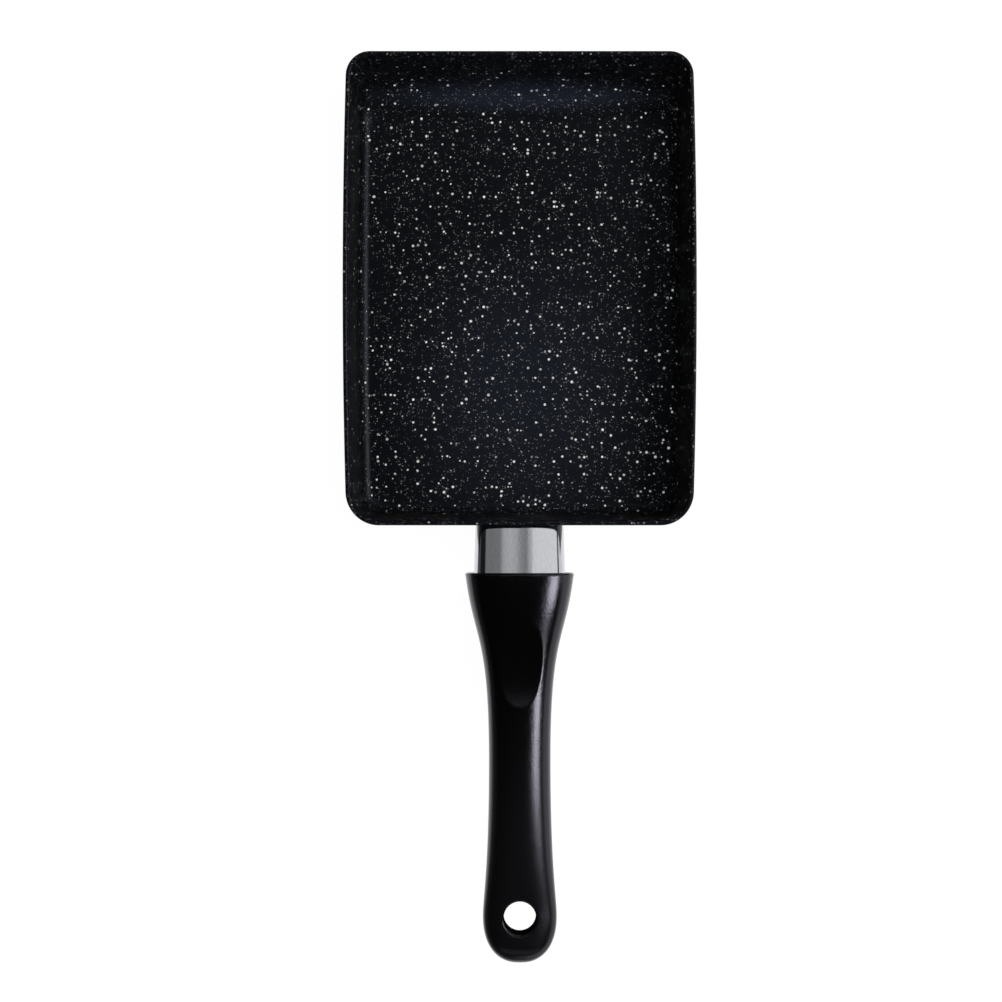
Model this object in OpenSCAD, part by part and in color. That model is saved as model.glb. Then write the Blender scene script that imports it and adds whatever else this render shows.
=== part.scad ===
// Tamagoyaki pan: a rectangular pan for rolled omelettes, about 15 x 20 cm at the rim.
// The pan is pressed aluminium. A bent steel bracket is held to its near wall by two
// welded studs, and one long screw draws the phenolic handle and the stainless ferrule
// up against that wall.
// Millimetres, +Z up. The origin is the centre of the underside, the handle lies along
// -Y and the slanting wall that the omelette is rolled against is at +Y.

/* [Pan] */
// Length of the rim, along the handle's direction
rim_l = 200; // [170:1:230]
// Width of the rim at its middle
rim_w = 149.4; // [130:0.2:180]
// Height of the rim above the table
rim_h = 37; // [33:0.5:46]
// Thickness of the walls
wall_t = 2.2; // [1.6:0.1:3]
// Thickness of the floor, with the ground base under it
floor_t = 3.4; // [2.6:0.1:5]
// Lean of the two long walls from upright, in degrees
side_lean = 6.5; // [3:0.5:12]
// Lean of the wall that carries the handle, in degrees
near_lean = 5; // [3:0.5:8]
// Lean of the far wall, in degrees
far_lean = 18; // [10:0.5:25]
// How far the long sides bow out at their middle
side_bow = 1.6; // [0:0.1:3]
// Corner radius of the rim at the handle's end
near_corner_r = 14; // [11:0.5:20]
// Corner radius of the rim at the far end
far_corner_r = 10; // [8:0.5:16]
// Corner radius of the floor, in plan
floor_corner_r = 8; // [5:0.5:12]
// Fillet where the floor turns up into the near and long walls
floor_fillet_r = 5; // [3:0.5:8]
// Fillet where the floor turns up into the far wall
far_fillet_r = 18; // [8:0.5:20]
// Rounding of the rim's two edges
rim_round = 0.9; // [0.4:0.1:1]
// Height that the ground base stands proud of the coated underside
base_step = 0.6; // [0.3:0.1:1]
// Margin between the ground base and the fillets round it
base_margin = 1.5; // [0.5:0.5:6]
// Radius of the smallest turned groove
groove_first_r = 14; // [8:1:20]
// Distance from one groove to the next
groove_pitch = 10; // [6:0.5:11]
// Width of a turned groove
groove_w = 1.6; // [0.8:0.1:3]
// Depth of a turned groove
groove_depth = 0.4; // [0.2:0.1:0.8]
// Plain border outside the last groove
groove_border = 5; // [2:0.5:12]

/* [Ferrule] */
// Length of ferrule seen from above, between the rim and the handle
ferrule_shown = 20; // [16:0.5:30]
// Outside width of the ferrule where it enters the handle
ferrule_w = 38.9; // [36:0.1:41]
// Outside height of the ferrule where it enters the handle
ferrule_h = 24; // [22:0.5:25]
// How much narrower the ferrule is for each millimetre towards the pan
ferrule_taper = 0.06; // [0:0.01:0.08]
// Thickness of its sheet
ferrule_t = 0.8; // [0.6:0.1:1.2]
// Squareness of its section: 2 is an ellipse, more is squarer
ferrule_square = 4; // [3:0.2:6]
// Depth to which it enters the groove in the handle's front
ferrule_seat = 2.5; // [1.5:0.5:4]
// Play round the ferrule in that groove
ferrule_play = 0.15; // [0.05:0.05:0.3]

/* [Handle] */
// Length of the handle seen from above
handle_l = 162.7; // [140:0.1:200]
// Wall of the front end at each side of the ferrule
front_side_t = 3.7; // [3:0.1:6]
// Wall of the front end above and below the ferrule
front_top_t = 4; // [3.4:0.1:6]
// Squareness of the front end's section
front_square = 3; // [2.8:0.1:4]
// Distance from the front end to the waist
waist_at = 80; // [74:1:95]
// Width of the waist
waist_w = 25.9; // [22:0.1:30]
// Height of the waist
waist_h = 19; // [16:0.5:24]
// Squareness of the waist's section
waist_square = 2.3; // [2:0.1:3]
// How long the waist's narrow line runs towards the front before it flares
waist_reach = 55.3; // [45:0.5:60]
// How long the front's flare runs towards the waist before it turns in
flare_reach = 30; // [20:0.5:36]
// Width that the front's flare aims at
flare_w = 38.7; // [34:0.1:44]
// Width of the tail at its widest
tail_w = 30.9; // [27:0.1:36]
// Height of the tail
tail_h = 14.5; // [12:0.5:18]
// Squareness of the tail's section
tail_square = 2.7; // [2.2:0.1:3.5]
// Distance from the widest place of the tail to its end
tail_end = 19.7; // [18:0.1:26]
// How long the waist's line runs towards the tail
tail_reach = 42.8; // [30:0.5:50]
// How short the tail's swelling turns back
tail_turn = 7.2; // [3:0.2:12]
// Squareness of the tail's end, in plan
end_square = 2.3; // [2:0.1:3]
// Length over which the tail's height rounds off
end_round = 8; // [5:0.5:12]
// Share of the handle's height that lies above its widest line
crown_share = 0.48; // [0.46:0.01:0.52]
// Depth of the front end's middle below the rim
grip_drop = 9.5; // [9.5:0.5:12]
// Rise of the middle line from the front end to the tail
grip_rise = 19.5; // [14:0.5:28]
// Slope of the middle line at the front end, in degrees
front_slope = 13; // [10:0.5:15]
// Slope of the middle line at the tail's end, in degrees
tail_slope = 2; // [0:0.5:4]
// Rounding of the front end's edge
front_round = 1; // [0.5:0.1:1.5]
// Radius of the hanging hole
hang_r = 6.75; // [5:0.05:7.5]
// Distance from the hanging hole's middle to the handle's end
hang_inset = 19.3; // [16:0.1:24]
// Rounding of the hanging hole's edges
hang_round = 1.2; // [0.6:0.1:1.6]

/* [Thumb rest] */
// Distance from the front end to the widest place of the thumb rest
rest_at = 35.8; // [32:0.2:44]
// Width of the thumb rest
rest_w = 19.6; // [16:0.2:21]
// Length of the thumb rest ahead of its widest place
rest_ahead = 10.9; // [8:0.1:14]
// Length of the thumb rest behind its widest place
rest_behind = 19.7; // [14:0.1:26]
// Depth of the thumb rest at its middle
rest_depth = 2; // [1.2:0.1:3]
// Squareness of the thumb rest's outline
rest_square = 3.2; // [2.4:0.1:4]

/* [Bracket and screw] */
// Thickness of the bracket's steel strip
strip_t = 2; // [1.5:0.1:2.5]
// Height of the strip, along the wall
strip_h = 14; // [12:0.5:15]
// Outside width of the bracket's nose
nose_w = 16; // [15:0.5:17]
// Distance from the wall to the front of the nose
nose_l = 14; // [12:0.5:16]
// Outside bend radius of the strip
bend_r = 3; // [2.6:0.1:4]
// Play between the bracket's feet and the inside of the ferrule
feet_play = 1.2; // [0.8:0.1:1.8]
// Corner radius of the feet
foot_corner_r = 3; // [1:0.5:4]
// Height of the bracket's middle above the ferrule's middle, at the wall
bracket_lift = 1.6; // [1:0.1:2]
// Radius of a welded stud
stud_r = 2.5; // [2:0.1:2.8]
// Radius of a stud's peened head
stud_head_r = 3.4; // [3:0.1:3.6]
// Height of a stud's peened head
stud_head_h = 1.6; // [1:0.1:2]
// Play round a stud in its hole
stud_play = 0.1; // [0.05:0.05:0.2]
// Side of the square nut
nut_side = 8; // [7.5:0.1:10]
// Height of the square nut
nut_h = 4; // [3:0.5:5]
// Radius of the screw's shank
screw_r = 2.5; // [2:0.1:2.6]
// Play round the screw's shank in the nut, on each side
thread_play = 0.05; // [0.02:0.01:0.1]
// Play round the screw's shank elsewhere, on each side
shank_play = 0.3; // [0.2:0.05:0.5]
// Length of thread that stands through the nut
screw_end = 1; // [0.5:0.5:2]
// Radius of the screw's head
head_r = 4.5; // [4:0.1:4.8]
// Height of the screw's head
head_h = 3.4; // [2.8:0.1:4]
// Radius of the flat washer
washer_r = 5; // [4.8:0.1:5.2]
// Thickness of the flat washer
washer_t = 1; // [0.8:0.1:1.4]
// Radius of the spring washer
spring_r = 4.4; // [4.2:0.1:4.6]
// Thickness of the spring washer
spring_t = 1.2; // [1:0.1:1.6]
// Gap in the spring washer
spring_gap = 0.8; // [0.4:0.1:1.2]
// Distance from the handle's front end to the washers' seat
seat_at = 12; // [10:0.5:14]
// Play round the washers and the driver in the screw's well
well_play = 0.5; // [0.3:0.1:0.8]
// Distance from the handle's spigot, inside the ferrule, to the rim's line
spigot_gap = 8; // [7:0.5:10]
// Play round the bracket's nose in the spigot
nose_play = 0.3; // [0.2:0.05:0.5]

/* [Hidden] */
$fn = 64;
CORNER_STEPS = 10;
SIDE_STEPS = 8;
SECTION_STEPS = 56;
BIG = 400;
EPS = 0.01;

// Each wall's run is the way it comes in from the rim before the underside is flat.
rim_edge_r = min(rim_round, wall_t * 0.45);
wall_top = rim_h - rim_edge_r;
outer_fillet_r = floor_fillet_r + wall_t;
outer_far_r = far_fillet_r + wall_t;
near_run = run(base_step, near_lean, outer_fillet_r, base_step);
far_run = run(base_step, far_lean, outer_far_r, base_step);
base_l = rim_l - near_run - far_run;
near_y = -base_l / 2 - near_run;
far_y = base_l / 2 + far_run;
rim_mid_y = (near_y + far_y) / 2;

// As many turned grooves as the ground base has room for.
base_w = rim_w - 2 * run(base_step, side_lean, outer_fillet_r, base_step);
groove_room = base_w / 2 - base_margin - groove_border - groove_first_r;
groove_last = floor(groove_room / groove_pitch);

// The handle's front end, and the height of its middle line there and at the tail.
front_y = near_y - ferrule_shown;
front_z = rim_h - grip_drop;
front_w = ferrule_w + 2 * front_side_t;
front_h = ferrule_h + 2 * front_top_t;
tail_z = front_z + grip_rise;
tail_at = handle_l - tail_end;
hang_at = handle_l - hang_inset;

// The ferrule's middle meets the wall here, and the bracket sits a little above it.
// Its feet fill the ferrule's width, and the studs stand in the middle of each foot.
ferrule_foot_z = front_z - ferrule_shown * tan(front_slope);
bracket_z = ferrule_foot_z + bracket_lift;
wall_y = near_y + (wall_top - bracket_z) * tan(near_lean);

foot_s = -ferrule_shown - (wall_top - ferrule_foot_z) * tan(near_lean);
feet_w = ferrule_w - ferrule_taper * (ferrule_seat - foot_s)
    - 2 * (ferrule_t + feet_play);
stud_x = (nose_w + feet_w) / 4;
spigot_l = ferrule_shown - spigot_gap;

// Distances from the wall, along the screw.
seat_d = (wall_y - front_y + seat_at) / cos(near_lean);
washers_t = washer_t + spring_t;
screw_l = seat_d + washers_t - (nose_l - strip_t - nut_h) + screw_end;
well_r = washer_r + well_play;

// Inward distance of a wall from its rim line at height z, with a fillet at the floor.
// The lean is measured from where the rim's rounding begins.
function run(z, lean, r, floor_z) =
    z >= floor_z + r * (1 - sin(lean))
        ? (wall_top - z) * tan(lean)
        : (wall_top - floor_z) * tan(lean) + r * (1 / cos(lean) - tan(lean))
            - sqrt(max(0, r * r - pow(floor_z + r - z, 2)));

function mix(a, b, t) = a + (b - a) * t;

function bezier(a, b, c, d, t) =
    pow(1 - t, 3) * a + 3 * pow(1 - t, 2) * t * b + 3 * (1 - t) * t * t * c
        + pow(t, 3) * d;

// A power that keeps the sign, for superellipses.
function sign_pow(v, p) = sign(v) * pow(abs(v), p);

// Triangles that join rings of n points each, one after another.
// The rings turn anticlockwise as seen from where they lead to.
function skin(n, first, last) = [
    for (i = [first : last - 1], j = [0 : n - 1], half = [0, 1])
        let (
            a = i * n + j,
            b = i * n + (j + 1) % n,
            c = (i + 1) * n + (j + 1) % n,
            d = (i + 1) * n + j
        )
        half == 0 ? [a, d, c] : [a, c, b]
];

function cap_start(n) = [[for (j = [0 : n - 1]) j]];

function cap_end(n, rings) = [[for (j = [n - 1 : -1 : 0]) (rings - 1) * n + j]];

module loft(rings) {
    n = len(rings[0]);
    polyhedron(
        points = [for (ring = rings, p = ring) p],
        faces = concat(
            cap_start(n),
            skin(n, 0, len(rings) - 1),
            cap_end(n, len(rings))
        ),
        convexity = 8
    );
}

// A loft whose last ring meets its first, for a tube with open ends.
module loft_tube(rings) {
    n = len(rings[0]);
    polyhedron(
        points = [for (ring = concat(rings, [rings[0]]), p = ring) p],
        faces = skin(n, 0, len(rings)),
        convexity = 8
    );
}

// One level of the pan: a rectangle with round corners and bowed long sides.
// inset is how far the level lies inside the rim's outer line. Only the bowed sides need
// points between their corners.
function pan_ring(z, floor_z, fillet, far_fillet, inset) =
    let (
        half_w = rim_w / 2 - inset - run(z, side_lean, fillet, floor_z),
        y0 = near_y + inset + run(z, near_lean, fillet, floor_z),
        y1 = far_y - inset - run(z, far_lean, far_fillet, floor_z),
        rise = (z - floor_z) / (rim_h - floor_z),
        r0 = mix(floor_corner_r + wall_t, near_corner_r, rise) - inset,
        r1 = mix(floor_corner_r + wall_t, far_corner_r, rise) - inset,
        corners = [
            [half_w - r0, y0 + r0, r0, -90],
            [half_w - r1, y1 - r1, r1, 0],
            [r1 - half_w, y1 - r1, r1, 90],
            [r0 - half_w, y0 + r0, r0, 180]
        ]
    )
    [
        for (k = [0 : 3])
            let (
                c = corners[k],
                next = corners[(k + 1) % 4],
                steps = k % 2 == 0 ? SIDE_STEPS : 1,
                from = corner_point(c, c[3] + 90),
                to = corner_point(next, next[3])
            )
            each concat(
                [for (i = [0 : CORNER_STEPS])
                    bowed(corner_point(c, c[3] + 90 * i / CORNER_STEPS), z)],
                [for (i = [1 : 1 : steps - 1])
                    bowed(mix(from, to, i / steps), z)]
            )
    ];

// A point at angle a on a corner that is given as [x, y, radius, first angle].
function corner_point(c, a) = [c[0] + c[2] * cos(a), c[1] + c[2] * sin(a)];

// The long sides bow out as a parabola about the middle of the rim.
function bowed(p, z) =
    let (bow = side_bow * pow((p[1] - rim_mid_y) / (rim_l / 2), 2))
    [p[0] * (1 - bow / (rim_w / 2)), p[1], z];

// Heights above a floor that follow the small fillet, and then the large one.
function fillet_heights(small, large) = concat(
    [for (a = [0 : 12 : 84]) small * (1 - cos(a))],
    [for (a = [50 : 10 : 70]) if (large * (1 - cos(a)) > small) large * (1 - cos(a))]
);

// The underside steps down to a ground base, whose outline is the underside's own, drawn in.
function base_ring(z) =
    [
        for (p = pan_ring(
            base_step, base_step, outer_fillet_r, outer_far_r, base_margin
        )) [p[0], p[1], z]
    ];

function rim_ring(inset, up) =
    pan_ring(
        wall_top + rim_edge_r * up, base_step, outer_fillet_r, outer_far_r, inset
    );

// The pressed pan in one skin: base, underside, outer walls, rim, inner walls and floor.
module pan_shell() {
    outside = [
        for (h = fillet_heights(outer_fillet_r, outer_far_r))
            pan_ring(base_step + h, base_step, outer_fillet_r, outer_far_r, 0)
    ];
    inside = [
        for (h = fillet_heights(floor_fillet_r, far_fillet_r))
            pan_ring(floor_t + h, floor_t, floor_fillet_r, far_fillet_r, wall_t)
    ];
    rim_angles = [0, 35, 65, 90];
    loft(concat(
        [base_ring(0), base_ring(base_step)],
        outside,
        [for (a = rim_angles) rim_ring(rim_edge_r * (1 - cos(a)), sin(a))],
        [for (i = [3 : -1 : 0])
            rim_ring(wall_t - rim_edge_r * (1 - cos(rim_angles[i])), sin(rim_angles[i]))],
        [for (i = [len(inside) - 1 : -1 : 0]) inside[i]]
    ));
}

module round_rect(l, w, r) {
    square([w - 2 * r, l], center = true);
    square([w, l - 2 * r], center = true);
    for (x = [-1, 1], y = [-1, 1])
        translate([x * (w / 2 - r), y * (l / 2 - r)]) circle(r);
}

// The pressed pan, with its ground base and the grooves that the lathe leaves there.
module pan_body() color("#26262b") {
    difference() {
        pan_shell();
        for (i = [0 : groove_last])
            rotate_extrude()
                translate([groove_first_r + i * groove_pitch, 0])
                    square([groove_w, 2 * groove_depth], center = true);
    }
}

// Local frame of the near wall: X across, Y up the wall, Z straight out of it.
module at_wall(out = 0) {
    translate([0, wall_y, bracket_z])
        rotate([90 + near_lean, 0, 0])
            translate([0, 0, out])
                children();
}

// Two aluminium studs, welded to the wall and peened over the bracket's feet.
module weld_studs() color("#b9bcc0") {
    head_top_r = stud_head_r - stud_head_h / 2;
    for (x = [-1, 1])
        at_wall()
            translate([x * stud_x, 0, 0])
                rotate_extrude()
                    polygon([
                        [0, 0],
                        [stud_r, 0],
                        [stud_r, strip_t],
                        [stud_head_r, strip_t],
                        [stud_head_r, strip_t + stud_head_h / 2],
                        [head_top_r, strip_t + stud_head_h],
                        [0, strip_t + stud_head_h]
                    ]);
}

// The strip's edge: two feet, two cheeks and a nose, with round bends.
module strip_profile() {
    inner_r = bend_r - strip_t;
    difference() {
        nose_outline(nose_w, nose_l, bend_r);
        nose_outline(nose_w - 2 * strip_t, nose_l - strip_t, inner_r);
        translate([-BIG / 2, -BIG])
            square(BIG);
    }
    for (side = [-1, 1])
        scale([side, 1]) {
            translate([nose_w / 2 - strip_t / 2, 0])
                square([(feet_w - nose_w + strip_t) / 2, strip_t]);
            translate([nose_w / 2, strip_t])
                difference() {
                    square(inner_r);
                    translate([inner_r, inner_r]) circle(inner_r);
                }
        }
}

module nose_outline(w, l, r) {
    translate([-w / 2, -l])
        square([w, 2 * l - r]);
    translate([-w / 2 + r, 0])
        square([w - 2 * r, l]);
    for (x = [-1, 1])
        translate([x * (w / 2 - r), l - r]) circle(r);
}

// The bent strip that holds the nut, with its feet flat on the wall.
module bracket() color("#8f9296") {
    at_wall()
        difference() {
            intersection() {
                rotate([90, 0, 0])
                    linear_extrude(strip_h, center = true)
                        strip_profile();
                linear_extrude(nose_l)
                    round_rect(strip_h, feet_w, foot_corner_r);
            }
            for (x = [-1, 1])
                translate([x * stud_x, 0, -EPS])
                    cylinder(h = strip_t + 2 * EPS, r = stud_r + stud_play);
            translate([0, 0, nose_l - strip_t - EPS])
                cylinder(h = strip_t + 2 * EPS, r = screw_r + shank_play);
        }
}

// The square nut, projection-welded inside the nose.
module weld_nut() color("#a7a9ad") {
    at_wall(nose_l - strip_t - nut_h)
        difference() {
            linear_extrude(nut_h)
                square(nut_side, center = true);
            translate([0, 0, -EPS])
                cylinder(h = nut_h + 2 * EPS, r = screw_r + thread_play);
        }
}

// Height of the handle's middle line, s millimetres behind its front end.
// Ahead of the front end it is straight, as the ferrule is.
function middle_z(s) =
    s < 0
        ? front_z + s * tan(front_slope)
        : bezier(
            front_z,
            front_z + handle_l / 3 * tan(front_slope),
            tail_z - handle_l / 3 * tan(tail_slope),
            tail_z,
            s / handle_l
        );

// One upright section, s millimetres behind the front end: a superellipse with its own
// half height above and below the widest line.
function section(s, half_w, up, down, square) = [
    for (i = [0 : SECTION_STEPS - 1])
        let (
            a = 360 * i / SECTION_STEPS,
            h = sin(a) > 0 ? up : down
        )
        [
            half_w * sign_pow(cos(a), 2 / square),
            front_y - s,
            middle_z(s) + h * sign_pow(sin(a), 2 / square)
        ]
];

// A section of the ferrule, grown outward by grow.
function ferrule_section(s, grow) =
    let (narrow = ferrule_taper * max(0, ferrule_seat - s) / 2)
    section(
        s,
        ferrule_w / 2 - narrow + grow,
        ferrule_h / 2 - narrow + grow,
        ferrule_h / 2 - narrow + grow,
        ferrule_square
    );

// The stainless sleeve, cut to the slope of the wall at its pan end.
module ferrule() color("#c9cad0") {
    past_wall = ferrule_shown + 12;
    difference() {
        loft_tube([
            ferrule_section(-past_wall, 0),
            ferrule_section(ferrule_seat, 0),
            ferrule_section(ferrule_seat, -ferrule_t),
            ferrule_section(-past_wall, -ferrule_t)
        ]);
        at_wall(-BIG)
            translate([-BIG / 2, -BIG / 2, 0])
                cube(BIG);
    }
}

// Sizes of the handle at one station: [distance, width, height, squareness].
function front_station(t) = [
    bezier(0, flare_reach, waist_at - waist_reach, waist_at, t),
    bezier(front_w, flare_w, waist_w, waist_w, t),
    bezier(front_h, mix(front_h, waist_h, 0.4), waist_h, waist_h, t),
    mix(front_square, waist_square, t)
];

function tail_station(t) = [
    bezier(waist_at, waist_at + tail_reach, tail_at - tail_turn, tail_at, t),
    bezier(waist_w, waist_w, tail_w, tail_w, t),
    bezier(waist_h, waist_h, tail_h, tail_h, t),
    mix(waist_square, tail_square, t)
];

function end_station(a) =
    let (
        s = tail_at + tail_end * pow(sin(a), 2 / end_square),
        rounding = max(0, s - (handle_l - end_round)) / end_round
    )
    [
        s,
        tail_w * pow(cos(a), 2 / end_square),
        tail_h * sqrt(max(0.001, 1 - rounding * rounding)),
        tail_square
    ];

function handle_ring(station, inset, back) =
    section(
        station[0] + back,
        station[1] / 2 - inset,
        station[2] * crown_share - inset,
        station[2] * (1 - crown_share) - inset,
        station[3]
    );

// The moulded handle before it is cut: a spigot, the ferrule's groove round it, the
// front face and the grip, in one skin.
module handle_blank() {
    play = ferrule_play;
    round_angles = [0, 45, 90];
    loft(concat(
        [
            ferrule_section(-spigot_l, -ferrule_t - play),
            ferrule_section(ferrule_seat, -ferrule_t - play),
            ferrule_section(ferrule_seat, play),
            ferrule_section(0, play)
        ],
        [for (a = round_angles)
            handle_ring(
                front_station(0), front_round * (1 - sin(a)), front_round * (1 - cos(a))
            )],
        [for (i = [1 : 14]) handle_ring(front_station(i / 14), 0, 0)],
        [for (i = [1 : 9]) handle_ring(tail_station(i / 9), 0, 0)],
        [for (a = [12, 24, 36, 46, 56, 64, 71, 77, 82, 86, 89])
            handle_ring(end_station(a), 0, 0)]
    ));
}

// Half height of the grip above its middle line, s millimetres behind the front.
function crown_z(s) =
    let (t = lookup(s, [for (i = [0 : 20]) [front_station(i / 20)[0], i / 20]]))
    middle_z(s) + front_station(t)[2] * crown_share;

// The hollow for the thumb: an egg in plan with steep walls and a flat floor.
// Each level is [share of the outline, height in depths].
module thumb_rest() {
    levels = [[1, 4], [1, -0.7], [0.985, -0.88], [0.95, -1]];
    ahead_z = crown_z(rest_at - rest_ahead);
    behind_z = crown_z(rest_at + rest_behind);
    tilt = (behind_z - ahead_z) / (rest_ahead + rest_behind);
    loft([
        for (i = [len(levels) - 1 : -1 : 0])
            [
                for (k = [0 : SECTION_STEPS - 1])
                    let (
                        a = 360 * k / SECTION_STEPS,
                        x = rest_w / 2 * sign_pow(cos(a), 2 / rest_square),
                        reach = sin(a) > 0 ? rest_ahead : rest_behind,
                        y = reach * sign_pow(sin(a), 2 / rest_square)
                    )
                    [
                        x * levels[i][0],
                        front_y - rest_at + y * levels[i][0],
                        ahead_z + tilt * (rest_ahead - y * levels[i][0])
                            + rest_depth * levels[i][1]
                    ]
            ]
    ]);
}

// The hanging hole, with its two edges rounded.
module hang_hole() {
    z = middle_z(hang_at);
    translate([0, front_y - hang_at, 0]) {
        translate([0, 0, z - BIG / 2])
            cylinder(h = BIG, r = hang_r);
        translate([0, 0, z + tail_h * crown_share])
            hole_edge();
        translate([0, 0, z - tail_h * (1 - crown_share)])
            mirror([0, 0, 1])
                hole_edge();
    }
}

module hole_edge() {
    rotate_extrude()
        difference() {
            translate([0, -hang_round])
                square([hang_r + hang_round, 2 * hang_round]);
            translate([hang_r + hang_round, -hang_round])
                circle(hang_round);
        }
}

// The moulded handle, with the bracket's socket, the screw's hole and well, the thumb
// rest and the hanging hole.
module handle() color("#17171a") {
    socket_w = nose_w + 2 * nose_play;
    socket_h = strip_h + 2 * nose_play;
    difference() {
        handle_blank();
        at_wall()
            translate([-socket_w / 2, -socket_h / 2, 0])
                cube([socket_w, socket_h, nose_l + nose_play]);
        at_wall()
            cylinder(h = seat_d + EPS, r = screw_r + shank_play);
        at_wall(seat_d)
            cylinder(h = handle_l / 2, r = well_r);
        thumb_rest();
        hang_hole();
    }
}

module flat_washer() color("#b4b6ba") {
    at_wall(seat_d)
        difference() {
            cylinder(h = washer_t, r = washer_r);
            translate([0, 0, -EPS])
                cylinder(h = washer_t + 2 * EPS, r = screw_r + shank_play);
        }
}

// The spring washer, pressed flat, with its slanting gap.
module spring_washer() color("#9da0a4") {
    at_wall(seat_d + washer_t)
        difference() {
            cylinder(h = spring_t, r = spring_r);
            translate([0, 0, -EPS])
                cylinder(h = spring_t + 2 * EPS, r = screw_r + shank_play);
            translate([0, spring_r / 2, spring_t / 2])
                rotate([0, 30, 0])
                    cube([spring_gap, spring_r + 2, 3 * spring_t], center = true);
        }
}

// The long screw: shank, pan head and cross recess.
module handle_screw() color("#b0b2b6") {
    recess_w = screw_r * 0.6;
    recess_l = head_r * 1.1;
    at_wall(seat_d + washers_t)
        difference() {
            union() {
                translate([0, 0, -screw_l])
                    cylinder(h = screw_l + EPS, r = screw_r);
                cylinder(h = head_h / 2, r = head_r);
                translate([0, 0, head_h / 2])
                    cylinder(h = head_h / 2, r1 = head_r, r2 = head_r - head_h / 4);
            }
            for (a = [0, 90])
                rotate([0, 0, a])
                    translate([-recess_w / 2, -recess_l / 2, head_h / 2])
                        cube([recess_w, recess_l, head_h]);
        }
}

pan_body();
weld_studs();
bracket();
weld_nut();
ferrule();
handle();
handle_screw();
spring_washer();
flat_washer();
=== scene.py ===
# %% [markdown]
# # A tamagoyaki pan
# The pan is a rectangular one for rolled omelettes: pressed aluminium with a speckled
# non-stick coating, a polished steel ferrule and a handle moulded in black phenolic resin.
# The CAD model comes first and stays fixed, because it says how large every piece is and
# where it sits. Each cell below either gives a CAD solid its finish or makes a finer piece
# in the same place.

# %% The frame
import math

import bpy
import numpy as np
from mathutils import Matrix, Vector


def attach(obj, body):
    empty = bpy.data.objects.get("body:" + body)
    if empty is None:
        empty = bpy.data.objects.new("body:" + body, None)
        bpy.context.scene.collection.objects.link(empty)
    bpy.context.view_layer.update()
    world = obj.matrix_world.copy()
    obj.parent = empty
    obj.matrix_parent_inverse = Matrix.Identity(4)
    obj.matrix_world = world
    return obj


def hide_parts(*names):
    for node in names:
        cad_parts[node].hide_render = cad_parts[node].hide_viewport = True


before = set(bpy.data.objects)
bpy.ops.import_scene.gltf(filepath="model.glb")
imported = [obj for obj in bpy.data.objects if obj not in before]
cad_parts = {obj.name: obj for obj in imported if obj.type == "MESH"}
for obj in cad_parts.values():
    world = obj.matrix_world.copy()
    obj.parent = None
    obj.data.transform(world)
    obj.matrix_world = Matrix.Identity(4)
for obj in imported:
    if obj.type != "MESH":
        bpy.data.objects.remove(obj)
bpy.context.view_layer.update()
MM = 0.001

# %% [markdown]
# ## Meshes from rings
# The pan, the ferrule and the handle are all lofts: closed outlines, stacked and joined.
# Blender could skin curves instead, but rings that are worked out from the real sizes land
# exactly on the CAD solids, and can be as fine as the light needs.

# %% Rings to a skin
def add_object(name, data):
    made = bpy.data.objects.new(name, data)
    bpy.context.scene.collection.objects.link(made)
    return made


def add_piece(name, points, faces):
    mesh = bpy.data.meshes.new(name)
    points = np.asarray(points, float) * MM
    mesh.from_pydata(points.tolist(), [], faces)
    mesh.validate()
    return add_object(name, mesh)


def circles(profile, count):
    """A ring of count points for each radius and height of a profile."""
    a = 2 * np.pi * np.arange(count) / count
    return np.array([
        np.column_stack([r * np.cos(a), r * np.sin(a), np.full(count, h)]) for r, h in profile
    ])


def loft(name, rings, tube=False, open_start=False):
    """Joins rings, given in mm, that turn anticlockwise as seen from where they lead to."""
    rings = np.asarray(rings, float)
    levels, count = rings.shape[:2]
    faces = []
    for i in range(levels if tube else levels - 1):
        low, high = i * count, (i + 1) % levels * count
        for j in range(count):
            k = (j + 1) % count
            faces.append((low + j, low + k, high + k, high + j))
    if not (tube or open_start):
        faces.append(tuple(range(count - 1, -1, -1)))
    if not tube:
        faces.append(tuple(range((levels - 1) * count, levels * count)))
    return add_piece(name, rings.reshape(-1, 3), faces)


def settle(piece):
    """Replaces a piece's mesh by what its modifiers make of it, and removes them."""
    graph = bpy.context.evaluated_depsgraph_get()
    made = bpy.data.meshes.new_from_object(piece.evaluated_get(graph))
    piece.modifiers.clear()
    old = piece.data
    piece.data = made
    bpy.data.meshes.remove(old)
    made.name = piece.name
    return piece


def cut(piece, tools):
    """Takes the closed tools out of a piece, one after another."""
    for tool in tools:
        modifier = piece.modifiers.new("cut", "BOOLEAN")
        modifier.operation = "DIFFERENCE"
        modifier.solver = "EXACT"
        modifier.object = tool
    settle(piece)
    for tool in tools:
        bpy.data.objects.remove(tool)


def coordinates(mesh):
    points = np.empty(len(mesh.vertices) * 3)
    mesh.vertices.foreach_get("co", points)
    return points.reshape(-1, 3) / MM


def smooth(piece, sharp_angle=180):
    piece.data.shade_smooth()
    if sharp_angle < 180:
        piece.data.set_sharp_from_angle(angle=math.radians(sharp_angle))


def dress(piece, finish, other, picks):
    """Puts one finish on a piece, and another on the faces that picks says yes to."""
    piece.data.materials.clear()
    piece.data.materials.append(finish)
    piece.data.materials.append(other)
    for face in piece.data.polygons:
        face.material_index = 1 if picks(face) else 0


# %% [markdown]
# ## Nodes
# Shader trees and Geometry Nodes trees are built the same way: one small function adds a
# node, sets it, and fills its inputs with numbers or links. Colours are written as sRGB
# hex, which is how a colour is read off a paint chart, and turned to linear light here.

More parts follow.
